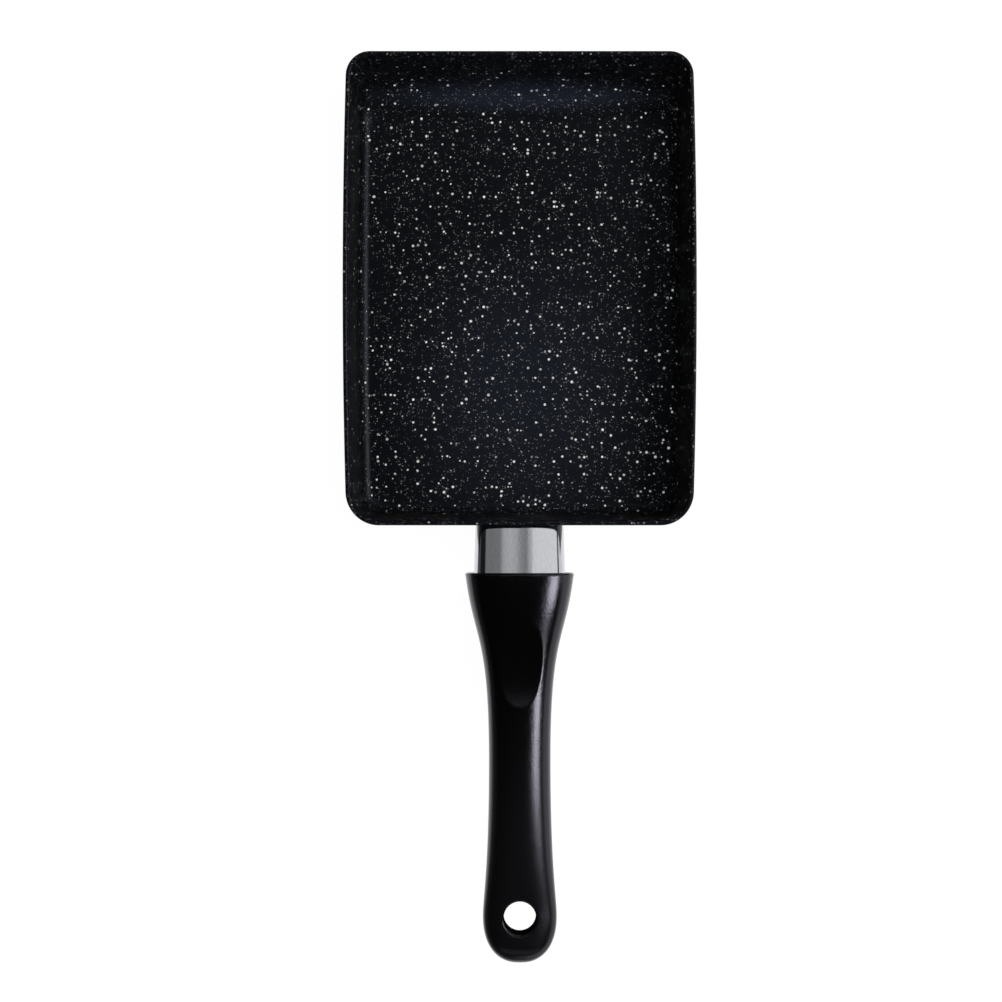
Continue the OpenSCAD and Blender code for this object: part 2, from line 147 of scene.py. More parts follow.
# %% Node and colour helpers
def node(tree, kind, inputs=None, **settings):
    """Adds a node with its settings, and fills its inputs with values, sockets or nodes."""
    made = tree.nodes.new(kind)
    for name, value in settings.items():
        setattr(made, name, value)
    for name, value in (inputs or {}).items():
        if isinstance(name, str):
            socket = next(s for s in made.inputs if s.enabled and s.name == name)
        else:
            socket = made.inputs[name]
        if isinstance(value, bpy.types.Node):
            value = next(s for s in value.outputs if s.enabled)
        if isinstance(value, bpy.types.NodeSocket):
            tree.links.new(value, socket)
        else:
            socket.default_value = value
    return made


def hex_colour(code):
    channels = [int(code[i:i + 2], 16) / 255 for i in (1, 3, 5)]
    linear = [c / 12.92 if c <= 0.04045 else ((c + 0.055) / 1.055) ** 2.4 for c in channels]
    return (*linear, 1.0)


def new_material(name):
    """An empty material, its tree, and where each point lies on its piece."""
    material = bpy.data.materials.new(name)
    material.use_nodes = True
    tree = material.node_tree
    tree.nodes.clear()
    return material, tree, node(tree, "ShaderNodeTexCoord").outputs["Object"]


# %% [markdown]
# ## The coating
# The real coat is a PTFE non-stick system: a black base, pale flecks that are spattered
# into it while it is wet, and a clear top, cured together in an oven. The eye gets a
# satin, blue-black surface with round flecks of very different sizes, most of them dim
# because they lie a little under the top.
# Flecks could be thousands of tiny discs, or a Voronoi pattern. A 3D Voronoi pattern is
# used: every cell is a grain of pigment, and where the surface slices the grains, discs of
# all sizes come out by themselves, on the floor, on the walls and round the rim alike.

# %% One spatter of flecks
def flecks(tree, place, cell_mm, radius_mm, share, brightest, dimness):
    """How bright the flecks of one spatter are at each point, and 0 between them."""
    cells = node(tree, "ShaderNodeTexVoronoi", {"Vector": place, "Scale": 1 / (cell_mm * MM)})
    draw = node(tree, "ShaderNodeSeparateColor", {"Color": cells.outputs["Color"]}).outputs
    # The smallest fleck is 0.3 times as wide as the widest.
    widest = radius_mm / cell_mm
    radius = node(tree, "ShaderNodeMath", {
        0: draw["Red"], 1: 0.7 * widest, 2: 0.3 * widest,
    }, operation="MULTIPLY_ADD")
    reach = node(tree, "ShaderNodeMath", {0: cells, 1: radius}, operation="DIVIDE")
    inside = node(tree, "ShaderNodeMapRange", {
        "Value": reach, "From Min": 1.0, "From Max": 0.85,
    }, interpolation_type="SMOOTHSTEP")
    present = node(tree, "ShaderNodeMath", {0: draw["Green"], 1: share}, operation="LESS_THAN")
    shown = node(tree, "ShaderNodeMath", {0: inside, 1: present}, operation="MULTIPLY")
    # The higher the power, the fewer flecks come near the brightest.
    depth = node(tree, "ShaderNodeMath", {0: draw["Blue"], 1: dimness}, operation="POWER")
    light = node(tree, "ShaderNodeMath", {0: depth, 1: brightest}, operation="MULTIPLY")
    return node(tree, "ShaderNodeMath", {0: shown, 1: light}, operation="MULTIPLY")


# %% Speckled coating
def bend_space(tree, place, wave_mm, reach_mm):
    """Points moved about by a smooth noise, so that flecks come out longer or bent."""
    ripple = node(tree, "ShaderNodeTexNoise", {
        "Vector": place, "Scale": 1 / (wave_mm * MM), "Detail": 1.0,
    })
    offset = node(tree, "ShaderNodeVectorMath", {
        0: ripple.outputs["Color"], 1: (0.5, 0.5, 0.5),
    }, operation="SUBTRACT")
    return node(tree, "ShaderNodeVectorMath", {
        0: offset, 1: (reach_mm * MM,) * 3, 2: place,
    }, operation="MULTIPLY_ADD")


def oval(tree, place, middle_y, reach, edge, values, fall="SMOOTHSTEP"):
    """An oval patch, placed in mm: one value within its edge, another outside, a slope between."""
    scaled = node(tree, "ShaderNodeVectorMath", {
        0: place, 1: (1 / (reach[0] * MM), 1 / (reach[1] * MM), 0),
        2: (0, -middle_y / reach[1], 0),
    }, operation="MULTIPLY_ADD")
    span = node(tree, "ShaderNodeVectorMath", {0: scaled}, operation="LENGTH")
    return node(tree, "ShaderNodeMapRange", {
        "Value": span, "From Min": edge[0], "From Max": edge[1],
        "To Min": values[0], "To Max": values[1],
    }, interpolation_type=fall)


# Each oval's middle and reach in mm, and how far it paints the coat pale: a painted sheen over the
# middle of the floor, and a painted highlight along the far fillet.
PAINTED_SHEEN_Y, PAINTED_SHEEN_REACH, PAINTED_SHEEN_STRENGTH = -33.3, (60.0, 74.0), 0.42
PAINTED_HIGHLIGHT_Y, PAINTED_HIGHLIGHT_REACH, PAINTED_HIGHLIGHT_STRENGTH = 93.6, (78.0, 9.0), 1.0
PATCH_DEPTH = 0.12


def make_coating():
    material, tree, place = new_material("ptfe_coating_spattered_with_pale_flecks")
    round_ones = bend_space(tree, place, 0.9, 0.3)
    long_ones = bend_space(tree, place, 1.6, 2.6)
    # Large round drops, fainter long ones and fine dust. The numbers: the size of a cell and
    # the widest fleck's radius in mm, the share of cells that hold a fleck, the light of the
    # brightest, and how few come near it.
    spatters = (
        flecks(tree, round_ones, 1.9, 0.66, 0.42, 1.6, 3.0),
        flecks(tree, long_ones, 1.5, 0.38, 0.62, 0.36, 1.7),
        flecks(tree, round_ones, 0.85, 0.31, 0.85, 0.24, 1.6),
    )
    brightest = spatters[0]
    for spatter in spatters[1:]:
        brightest = node(tree, "ShaderNodeMath", {0: brightest, 1: spatter}, operation="MAXIMUM")
    # A painted sheen makes the coat paler and bluer near the middle of the floor, leaving it darker
    # towards the walls, and a painted highlight does the same along the far fillet. Faint patches
    # of tone run all through it.
    patches = node(tree, "ShaderNodeTexNoise", {
        "Vector": place, "Scale": 1 / (4 * MM), "Detail": 3.0,
    })
    painted_sheen = oval(tree, place, PAINTED_SHEEN_Y, PAINTED_SHEEN_REACH, (0.1, 1.1), (PAINTED_SHEEN_STRENGTH, 0.0))
    painted_highlight = oval(tree, place, PAINTED_HIGHLIGHT_Y, PAINTED_HIGHLIGHT_REACH, (0.2, 1.0), (PAINTED_HIGHLIGHT_STRENGTH, 0.0))
    painted_sheen_and_highlight = node(tree, "ShaderNodeMath", {0: painted_sheen, 1: painted_highlight}, operation="MAXIMUM")
    patches_and_painted_sheen = node(tree, "ShaderNodeMath", {
        0: patches, 1: PATCH_DEPTH, 2: painted_sheen_and_highlight,
    }, operation="MULTIPLY_ADD")
    # Painted sheen and painted highlight: the base goes from black to a pale blue where they lie.
    base = node(tree, "ShaderNodeMix", {
        "Factor": patches_and_painted_sheen, "A": hex_colour("#050607"), "B": hex_colour("#1e222e"),
    }, data_type="RGBA")
    colour = node(tree, "ShaderNodeMix", {
        "Factor": brightest, "A": base, "B": hex_colour("#fafaf8"),
    }, data_type="RGBA")
    grain = node(tree, "ShaderNodeTexNoise", {
        "Vector": place, "Scale": 1 / (0.5 * MM), "Detail": 2.0,
    })
    bump = node(tree, "ShaderNodeBump", {"Height": grain, "Distance": 0.03 * MM, "Strength": 0.6})
    shader = node(tree, "ShaderNodeBsdfPrincipled", {
        "Base Color": colour, "Roughness": 0.38, "IOR": 1.3,
        "Specular Tint": hex_colour("#e4ecff"), "Normal": bump,
    })
    node(tree, "ShaderNodeOutputMaterial", {"Surface": shader})
    return material


coating = make_coating()

# %% [markdown]
# ## Bare aluminium
# The underside's base is faced on a lathe after the coat is cured, so it shows bare metal
# with fine rings round the middle. Each ring is a scratch a few tenths of a millimetre
# wide; a wave over the distance from the middle draws them, and a little noise keeps them
# from looking printed.

# %% Ground aluminium
def make_ground_aluminium():
    material, tree, place = new_material("aluminium_faced_on_a_lathe")
    flat = node(tree, "ShaderNodeVectorMath", {0: place, 1: (1, 1, 0)}, operation="MULTIPLY")
    reach = node(tree, "ShaderNodeVectorMath", {0: flat}, operation="LENGTH")
    # Rings 0.4 mm apart: real ones are finer, and would not show.
    turns = node(tree, "ShaderNodeMath", {0: reach, 1: 0.4 * MM}, operation="DIVIDE")
    line = node(tree, "ShaderNodeCombineXYZ", {"X": turns})
    rings = node(tree, "ShaderNodeTexNoise", {
        "Vector": line, "Scale": 1.0, "Detail": 3.0, "Roughness": 0.7,
    })
    colour = node(tree, "ShaderNodeMix", {
        "Factor": rings, "A": hex_colour("#a9abae"), "B": hex_colour("#d9dbdd"),
    }, data_type="RGBA")
    bump = node(tree, "ShaderNodeBump", {"Height": rings, "Distance": 0.02 * MM, "Strength": 0.7})
    shader = node(tree, "ShaderNodeBsdfPrincipled", {
        "Base Color": colour, "Metallic": 1.0, "Roughness": 0.34, "Normal": bump,
    })
    node(tree, "ShaderNodeOutputMaterial", {"Surface": shader})
    return material


ground_aluminium = make_ground_aluminium()

# %% [markdown]
# ## The pan
# A press draws the pan from one sheet: four walls that lean outward, a large fillet on the
# far side where the omelette is turned, small fillets on the other three, and a rim whose
# edge is turned round. Each level of it is a rectangle with round corners. The lean and the
# fillet say how far a level has come in from the rim, so one formula gives every ring, for
# the outside and the inside.

# %% Pan sizes
RIM_L, RIM_W, RIM_H = 200.0, 149.4, 37.0
WALL_T, FLOOR_T = 2.2, 3.4
SIDE_LEAN, NEAR_LEAN, FAR_LEAN = 6.5, 5.0, 18.0
SIDE_BOW = 1.6
NEAR_CORNER_R, FAR_CORNER_R, FLOOR_CORNER_R = 14.0, 10.0, 8.0
FLOOR_FILLET_R, FAR_FILLET_R = 5.0, 18.0
RIM_ROUND = 0.9
BASE_STEP, BASE_MARGIN = 0.6, 1.5
WALL_TOP = RIM_H - RIM_ROUND
OUTER_FILLETS = (FLOOR_FILLET_R + WALL_T, FAR_FILLET_R + WALL_T)
INNER_FILLETS = (FLOOR_FILLET_R, FAR_FILLET_R)


def run(z, lean, fillet, floor_z):
    """How far a wall has come in from the rim's line at height z."""
    lean = math.radians(lean)
    if z >= floor_z + fillet * (1 - math.sin(lean)):
        return (WALL_TOP - z) * math.tan(lean)
    whole = (WALL_TOP - floor_z) * math.tan(lean)
    whole += fillet * (1 / math.cos(lean) - math.tan(lean))
    return whole - math.sqrt(max(0.0, fillet ** 2 - (floor_z + fillet - z) ** 2))


near_run = run(BASE_STEP, NEAR_LEAN, OUTER_FILLETS[0], BASE_STEP)
far_run = run(BASE_STEP, FAR_LEAN, OUTER_FILLETS[1], BASE_STEP)
base_l = RIM_L - near_run - far_run
NEAR_Y = -base_l / 2 - near_run
FAR_Y = base_l / 2 + far_run
print("Rim from", round(NEAR_Y, 2), "to", round(FAR_Y, 2), "mm along the handle's line")

# %% Pan levels
CORNER_STEPS = 20
SIDE_STEPS = 32


def pan_ring(z, floor_z, fillets, inset, level=None):
    """One level of the pan, inset from the rim's line, and moved to another level if given."""
    half_w = RIM_W / 2 - inset - run(z, SIDE_LEAN, fillets[0], floor_z)
    y0 = NEAR_Y + inset + run(z, NEAR_LEAN, fillets[0], floor_z)
    y1 = FAR_Y - inset - run(z, FAR_LEAN, fillets[1], floor_z)
    rise = (z - floor_z) / (RIM_H - floor_z)
    low_r = FLOOR_CORNER_R + WALL_T
    r0 = low_r + (NEAR_CORNER_R - low_r) * rise - inset
    r1 = low_r + (FAR_CORNER_R - low_r) * rise - inset
    r0, r1 = max(r0, 0.5), max(r1, 0.5)
    centres = [
        (half_w - r0, y0 + r0, r0), (half_w - r1, y1 - r1, r1),
        (r1 - half_w, y1 - r1, r1), (r0 - half_w, y0 + r0, r0),
    ]
    points = []
    for k, (x, y, r) in enumerate(centres):
        angles = np.radians(-90 + 90 * k + np.linspace(0, 90, CORNER_STEPS + 1))
        corner = np.stack([x + r * np.cos(angles), y + r * np.sin(angles)], axis=1)
        points.extend(corner)
        if k % 2 == 0:
            x2, y2, r2 = centres[k + 1]
            end = np.array([x2 + r2 * math.cos(angles[-1]), y2 + r2 * math.sin(angles[-1])])
            for t in np.linspace(0, 1, SIDE_STEPS + 1)[1:-1]:
                points.append(corner[-1] * (1 - t) + end * t)
    points = np.array(points)
    middle_y = (NEAR_Y + FAR_Y) / 2
    bow = SIDE_BOW * ((points[:, 1] - middle_y) / (RIM_L / 2)) ** 2
    points[:, 0] *= 1 - bow / (RIM_W / 2)
    return np.column_stack([points, np.full(len(points), z if level is None else level)])


def wall_heights(fillets):
    """Heights above a floor: close together in the fillets, wide apart up the straight wall."""
    small = fillets[0] * (1 - np.cos(np.radians(np.arange(0, 86, 5))))
    large = fillets[1] * (1 - np.cos(np.radians(np.arange(0, 74, 4))))
    large = large[large > small[-1] + 0.3]
    return np.concatenate([small, large])


def make_pan():
    # The ground base: a flat underside, a small chamfer and a short upright side.
    base = ((3, 0.0), (0.2, 0.0), (0.0, 0.2), (0.0, BASE_STEP), (-0.2, BASE_STEP))
    rings = [
        pan_ring(BASE_STEP, BASE_STEP, OUTER_FILLETS, BASE_MARGIN + inset, level)
        for inset, level in base
    ]
    for height in wall_heights(OUTER_FILLETS):
        rings.append(pan_ring(BASE_STEP + height, BASE_STEP, OUTER_FILLETS, 0.0))
    # The rim's edge is round: up its outer half, then down its inner half.
    turns = np.radians(np.arange(0, 91, 15))
    for start, way, edge in ((0.0, 1, turns), (WALL_T, -1, turns[::-1])):
        for a in edge:
            rings.append(pan_ring(
                WALL_TOP + RIM_ROUND * math.sin(a), BASE_STEP, OUTER_FILLETS,
                start + way * RIM_ROUND * (1 - math.cos(a)),
            ))
    for height in wall_heights(INNER_FILLETS)[::-1]:
        rings.append(pan_ring(FLOOR_T + height, FLOOR_T, INNER_FILLETS, WALL_T))
    rings.append(pan_ring(FLOOR_T, FLOOR_T, INNER_FILLETS, WALL_T + 1.5))
    return loft("pan", rings)


pan = make_pan()
print("Pan:", len(pan.data.polygons), "faces before its base is turned")

# %% [markdown]
# ## Turned grooves
# The base carries five shallow grooves, all round one middle and all cut by one tool, so
# they are a case for Geometry Nodes: circles of growing radius, a round tool swept along
# them, and the result taken out of the pan. The tool is a circle of 1 mm radius that dips
# 0.4 mm into the metal, which leaves a groove 1.6 mm wide.

# %% Building and running a tree
def new_tree(name, inputs, on_mesh=False):
    """A Geometry Nodes tree whose named inputs are whole numbers, sizes and a material."""
    tree = bpy.data.node_groups.new(name, "GeometryNodeTree")
    tree.interface.new_socket("Geometry", in_out="OUTPUT", socket_type="NodeSocketGeometry")
    if on_mesh:
        tree.interface.new_socket("Geometry", in_out="INPUT", socket_type="NodeSocketGeometry")
    kinds = {int: "Int", float: "Float", bpy.types.Material: "Material"}
    for label, value in inputs.items():
        kind = "NodeSocket" + kinds[type(value)]
        tree.interface.new_socket(label, in_out="INPUT", socket_type=kind)
    return tree, node(tree, "NodeGroupInput").outputs


def end_tree(tree, given, geometry):
    """Every tree ends the same way: real geometry, one material, and the output."""
    real = node(tree, "GeometryNodeRealizeInstances", {"Geometry": geometry})
    dressed = node(tree, "GeometryNodeSetMaterial", {
        "Geometry": real, "Material": given["Finish"],
    })
    node(tree, "NodeGroupOutput", {"Geometry": dressed})


def run_tree(tree, inputs, piece=None):
    """Runs a tree on a piece, or on an empty mesh, and keeps what it makes as a plain mesh."""
    piece = piece or add_piece(tree.name, np.zeros((0, 3)), [])
    modifier = piece.modifiers.new(tree.name, "NODES")
    modifier.node_group = tree
    for item in tree.interface.items_tree:
        if item.in_out == "INPUT" and item.name in inputs:
            modifier[item.identifier] = inputs[item.name]
    return settle(piece)


# %% Turned grooves
GROOVES = {
    "Count": 5,
    "First Radius": 14.0 * MM,
    "Pitch": 10.0 * MM,
    "Tool Radius": 1.0 * MM,
    "Tool Height": -0.6 * MM,
    "Finish": ground_aluminium,
}


def make_groove_tools():
    tree, given = new_tree("turned_grooves", GROOVES)
    centres = node(tree, "GeometryNodeMeshLine", {"Count": given["Count"], "Offset": (0, 0, 0)})
    radius = node(tree, "ShaderNodeMath", {
        0: node(tree, "GeometryNodeInputIndex"), 1: given["Pitch"], 2: given["First Radius"],
    }, operation="MULTIPLY_ADD")
    size = node(tree, "ShaderNodeCombineXYZ", {"X": radius, "Y": radius, "Z": 1.0})
    circle = node(tree, "GeometryNodeCurvePrimitiveCircle", {"Resolution": 180, "Radius": 1.0})
    circles = node(tree, "GeometryNodeInstanceOnPoints", {
        "Points": centres, "Instance": circle, "Scale": size,
    })
    paths = node(tree, "GeometryNodeRealizeInstances", {"Geometry": circles})
    even = node(tree, "GeometryNodeSetCurveRadius", {"Curve": paths, "Radius": 1.0})
    tool = node(tree, "GeometryNodeCurvePrimitiveCircle", {
        "Resolution": 32, "Radius": given["Tool Radius"],
    })
    swept = node(tree, "GeometryNodeCurveToMesh", {"Curve": even, "Profile Curve": tool})
    height = node(tree, "ShaderNodeCombineXYZ", {"Z": given["Tool Height"]})
    placed = node(tree, "GeometryNodeTransform", {"Geometry": swept, "Translation": height})
    end_tree(tree, given, placed)
    return run_tree(tree, GROOVES)


cut(pan, [make_groove_tools()])
print("Pan:", len(pan.data.polygons), "faces with", GROOVES["Count"], "grooves")

# %% Pan finish
def dress_pan():
    bare_below = BASE_STEP * 0.98 * MM
    dress(pan, coating, ground_aluminium, lambda face: face.center.z < bare_below)
    smooth(pan, 38)
    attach(pan, "root")
    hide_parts("pan_body")


dress_pan()

# %% [markdown]
# ## The line of the handle
# The ferrule and the handle share one middle line and one kind of cross-section, a
# superellipse: an ellipse whose corners are pushed out. A squareness of 2 is an ellipse, and
# 4 is close to a rectangle with round corners. The line runs straight through the ferrule,
# 13 degrees up from the pan, and bends almost level towards the tail.

# %% Middle line and cross-section
FERRULE_SHOWN = 20.0
FRONT_Y = NEAR_Y - FERRULE_SHOWN
FRONT_DROP, TAIL_RISE = 9.5, 19.5
FRONT_Z = RIM_H - FRONT_DROP
TAIL_Z = FRONT_Z + TAIL_RISE
HANDLE_L = 162.7
print("Handle from", round(FRONT_Y, 2), "to", round(FRONT_Y - HANDLE_L, 2), "mm")
FRONT_SLOPE, TAIL_SLOPE = math.radians(13.0), math.radians(2.0)


def bezier(a, b, c, d, t):
    return (1 - t) ** 3 * a + 3 * (1 - t) ** 2 * t * b + 3 * (1 - t) * t * t * c + t ** 3 * d


def middle_z(s):
    """Height of the middle line, s mm behind the handle's front."""
    straight = FRONT_Z + s * math.tan(FRONT_SLOPE)
    third = HANDLE_L / 3
    bent = bezier(
        FRONT_Z, FRONT_Z + third * math.tan(FRONT_SLOPE),
        TAIL_Z - third * math.tan(TAIL_SLOPE), TAIL_Z, np.clip(s / HANDLE_L, 0, 1),
    )
    return np.where(np.asarray(s) < 0, straight, bent)


def signed_power(value, power):
    return np.sign(value) * np.abs(value) ** power


def section(s, half_w, up, down, squareness, count):
    """A cross-section s mm behind the front, with its own half height above and below."""
    a = 2 * np.pi * np.arange(count) / count
    x = half_w * signed_power(np.cos(a), 2 / squareness)
    z = np.where(np.sin(a) > 0, up, down) * signed_power(np.sin(a), 2 / squareness)
    return np.column_stack([x, np.full(count, FRONT_Y - s), middle_z(s) + z])


# %% [markdown]
# ## The ferrule
# The sleeve is drawn from stainless tube, pressed to an oval and polished. It is cut to the
# lean of the pan's wall, so its end ring is found by sliding each point of the section
# along the sleeve until it meets the wall. Pressing leaves the top slightly wavy: one long
# shallow step near the middle, which a mirror finish shows as a dark band.

# %% Polished steel
def make_polished_steel():
    material, tree, place = new_material("stainless_steel_drawn_and_polished")
    # Polishing lines run along the sleeve: noise that is 60 times longer than it is wide.
    stretched = node(tree, "ShaderNodeMapping", {
        "Vector": place, "Scale": (1 / (0.35 * MM), 1 / (20 * MM), 1 / (0.6 * MM)),
    })
    lines = node(tree, "ShaderNodeTexNoise", {"Vector": stretched, "Scale": 1.0, "Detail": 3.0})
    colour = node(tree, "ShaderNodeMix", {
        "Factor": lines, "A": hex_colour("#c4c5ca"), "B": hex_colour("#e0e1e5"),
    }, data_type="RGBA")
    # The buffing wheel also leaves a faint orange peel, about 1 mm across.
    peel = node(tree, "ShaderNodeTexNoise", {
        "Vector": place, "Scale": 1 / (0.8 * MM), "Detail": 2.0,
    })
    buffed = node(tree, "ShaderNodeBump", {
        "Height": peel, "Distance": 0.013 * MM, "Strength": 0.6,
    })
    bump = node(tree, "ShaderNodeBump", {
        "Height": lines, "Distance": 0.004 * MM, "Strength": 0.6, "Normal": buffed,
    })
    shader = node(tree, "ShaderNodeBsdfPrincipled", {
        "Base Color": colour, "Metallic": 1.0, "Roughness": 0.11, "Normal": bump,
    })
    node(tree, "ShaderNodeOutputMaterial", {"Surface": shader})
    return material


polished_steel = make_polished_steel()

# %% Ferrule
FERRULE_W, FERRULE_H, FERRULE_T = 38.9, 24.0, 0.8
FERRULE_TAPER, FERRULE_SEAT, FERRULE_SQUARE = 0.06, 2.5, 4.0
WAVE_DEPTH, WAVE_LEFT, WAVE_STEP = 0.34, (-17.0, -9.0), (-2.2, 5.4)
BRACKET_UP = 1.6
BRACKET_Z = FRONT_Z - FERRULE_SHOWN * math.tan(FRONT_SLOPE) + BRACKET_UP
LEAN = math.radians(NEAR_LEAN)
WALL_Y = NEAR_Y + (WALL_TOP - BRACKET_Z) * math.tan(LEAN)
WALL_POINT = np.array([0.0, WALL_Y, BRACKET_Z])
WALL_NORMAL = np.array([0.0, -math.cos(LEAN), -math.sin(LEAN)])


def ferrule_section(s, grow, count):
    narrow = FERRULE_TAPER * max(0.0, FERRULE_SEAT - s) / 2
    half_h = FERRULE_H / 2 - narrow + grow
    return section(s, FERRULE_W / 2 - narrow + grow, half_h, half_h, FERRULE_SQUARE, count)


def cut_to_wall(grow, count):
    """The section's points, slid along the sleeve on to the plane of the pan's wall."""
    near, far = ferrule_section(-10.0, grow, count), ferrule_section(-30.0, grow, count)
    way = far - near
    t = ((WALL_POINT - near) @ WALL_NORMAL) / (way @ WALL_NORMAL)
    return near + way * t[:, None]


def fade(value, low, high):
    """0 below low, 1 above high, and a smooth rise between them."""
    t = np.clip((value - low) / (high - low), 0, 1)
    return t * t * (3 - 2 * t)


def pressed_wave(x):
    """How far the sleeve's top is pressed in: the left half, with a step near the middle."""
    return WAVE_DEPTH * fade(x, *WAVE_LEFT) * (1 - fade(x, *WAVE_STEP))


def make_ferrule():
    count, rings = 320, []
    for grow, ends in ((0.0, (0, 1)), (-FERRULE_T, (1, 0))):
        start, end = cut_to_wall(grow, count), ferrule_section(FERRULE_SEAT, grow, count)
        for t in np.linspace(*ends, 12):
            ring = start + (end - start) * t
            above = ring[:, 2] - middle_z(FRONT_Y - ring[:, 1])
            ring[:, 2] -= pressed_wave(ring[:, 0]) * fade(above, 0, FERRULE_H / 3)
            rings.append(ring)
    piece = loft("ferrule_sleeve", rings, tube=True)
    piece.data.materials.append(polished_steel)
    smooth(piece, 40)
    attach(piece, "root")
    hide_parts("ferrule")
    return piece


ferrule = make_ferrule()
print("Ferrule:", len(ferrule.data.polygons), "faces")

# %% [markdown]
# ## The handle
# The handle is moulded in one piece from black phenolic resin. It flares round the ferrule,
# thins to a waist, swells again at the tail, and has a scoop for the thumb and a hole to
# hang it by. A mould leaves no sharp edge, so after the loft is cut by its tools the mesh is
# remeshed with small voxels and relaxed, which rounds every edge by about half a
# millimetre. The open surfaces are then put back on the exact loft, so that the highlight
# along the handle runs clean, and the scoop comes last.

# %% Phenolic
GLOSSY_TO, MATT_FROM = 40.0, 120.0
SMOOTHEST, RUBBING, DULLING = 0.14, 0.06, 0.08


def make_phenolic(name, gloss):
    material, tree, place = new_material(name)
    # The mould leaves a fine grain. It is drawn 0.8 mm wide, coarser than real, to show at all.
    grain = node(tree, "ShaderNodeTexNoise", {
        "Vector": place, "Scale": 1 / (0.8 * MM), "Detail": 3.0, "Roughness": 0.6,
    })
    bump = node(tree, "ShaderNodeBump", {"Height": grain, "Distance": 0.07 * MM, "Strength": 1.0})
    # The thumb keeps the front glossy. The tail is duller and greyer, as it left the mould.
    along = node(tree, "ShaderNodeSeparateXYZ", {"Vector": place}).outputs["Y"]
    dull = node(tree, "ShaderNodeMapRange", {
        "Value": along, "From Min": (FRONT_Y - GLOSSY_TO) * MM,
        "From Max": (FRONT_Y - MATT_FROM) * MM,
    }, interpolation_type="SMOOTHSTEP")
    rubbed = node(tree, "ShaderNodeTexNoise", {
        "Vector": place, "Scale": 1 / (1.6 * MM), "Detail": 3.0,
    })
    rough = node(tree, "ShaderNodeMath", {
        0: rubbed, 1: RUBBING, 2: SMOOTHEST,
    }, operation="MULTIPLY_ADD")
    roughness = node(tree, "ShaderNodeMath", {
        0: dull, 1: DULLING, 2: rough,
    }, operation="MULTIPLY_ADD")
    colour = node(tree, "ShaderNodeMix", {
        "Factor": dull, "A": hex_colour("#020202"), "B": hex_colour("#0b0b0c"),
    }, data_type="RGBA")
    shader = node(tree, "ShaderNodeBsdfPrincipled", {
        "Base Color": colour, "Roughness": roughness, "IOR": 1.63, "Normal": bump,
        "Specular IOR Level": gloss, "Specular Tint": hex_colour("#efeeff"),
    })
    node(tree, "ShaderNodeOutputMaterial", {"Surface": shader})
    return material


phenolic = make_phenolic("phenolic_resin_moulded_black", 0.5)
# The wall of the hanging hole is left as the core pin made it, and has no gloss.
phenolic_bore = make_phenolic("phenolic_resin_left_by_a_core_pin", 0.0)

# %% Handle stations
FRONT_W, FRONT_H, FRONT_SQUARE = FERRULE_W + 7.4, FERRULE_H + 8.0, 3.0
WAIST_AT, WAIST_W, WAIST_H, WAIST_SQUARE = 80.0, 25.9, 19.0, 2.3
WAIST_REACH, FLARE_REACH, FLARE_W = 55.3, 30.0, 38.7
TAIL_W, TAIL_H, TAIL_SQUARE, TAIL_END = 30.9, 14.5, 2.7, 19.7
TAIL_REACH, TAIL_TURN, TAIL_AT = 42.8, 7.2, HANDLE_L - TAIL_END
END_SQUARE, END_ROUND = 2.3, 8.0
CROWN_SHARE = 0.48
FRONT_ROUND, PLAY = 1.0, 0.15
SPIGOT_GAP = 8.0
SPIGOT_L = FERRULE_SHOWN - SPIGOT_GAP
AROUND = 192


def stations():
    """Distance, width, height and squareness all along the handle."""
    rows = []
    for t in np.linspace(0, 1, 70):
        rows.append((
            bezier(0, FLARE_REACH, WAIST_AT - WAIST_REACH, WAIST_AT, t),
            bezier(FRONT_W, FLARE_W, WAIST_W, WAIST_W, t),
            bezier(FRONT_H, FRONT_H * 0.6 + WAIST_H * 0.4, WAIST_H, WAIST_H, t),
            FRONT_SQUARE + (WAIST_SQUARE - FRONT_SQUARE) * t,
        ))
    for t in np.linspace(0, 1, 50)[1:]:
        rows.append((
            bezier(WAIST_AT, WAIST_AT + TAIL_REACH, TAIL_AT - TAIL_TURN, TAIL_AT, t),
            bezier(WAIST_W, WAIST_W, TAIL_W, TAIL_W, t),
            bezier(WAIST_H, WAIST_H, TAIL_H, TAIL_H, t),
            WAIST_SQUARE + (TAIL_SQUARE - WAIST_SQUARE) * t,
        ))
    for a in np.radians(np.linspace(0, 89.3, 46))[1:]:
        s = TAIL_AT + TAIL_END * math.sin(a) ** (2 / END_SQUARE)
        rounding = max(0.0, s - (HANDLE_L - END_ROUND)) / END_ROUND
        rows.append((
            s, TAIL_W * math.cos(a) ** (2 / END_SQUARE),
            TAIL_H * math.sqrt(max(0.001, 1 - rounding ** 2)), TAIL_SQUARE,
        ))
    return np.array(rows)


STATIONS = stations()


def handle_ring(row, inset=0.0, back=0.0):
    s, width, height, squareness = row
    return section(
        s + back, width / 2 - inset, height * CROWN_SHARE - inset,
        height * (1 - CROWN_SHARE) - inset, squareness, AROUND,
    )


def make_handle_blank():
    rings = [
        ferrule_section(-SPIGOT_L, -FERRULE_T - PLAY, AROUND),
        ferrule_section(FERRULE_SEAT, -FERRULE_T - PLAY, AROUND),
        ferrule_section(FERRULE_SEAT, PLAY, AROUND),
        ferrule_section(0.0, PLAY, AROUND),
    ]
    for a in np.radians((0, 22, 45, 67, 90)):
        rings.append(handle_ring(
            STATIONS[0], FRONT_ROUND * (1 - math.sin(a)), FRONT_ROUND * (1 - math.cos(a))
        ))
    rings.extend(handle_ring(row) for row in STATIONS[1:])
    return loft("handle_grip", rings)


handle = make_handle_blank()
print("Handle blank:", len(handle.data.polygons), "faces")

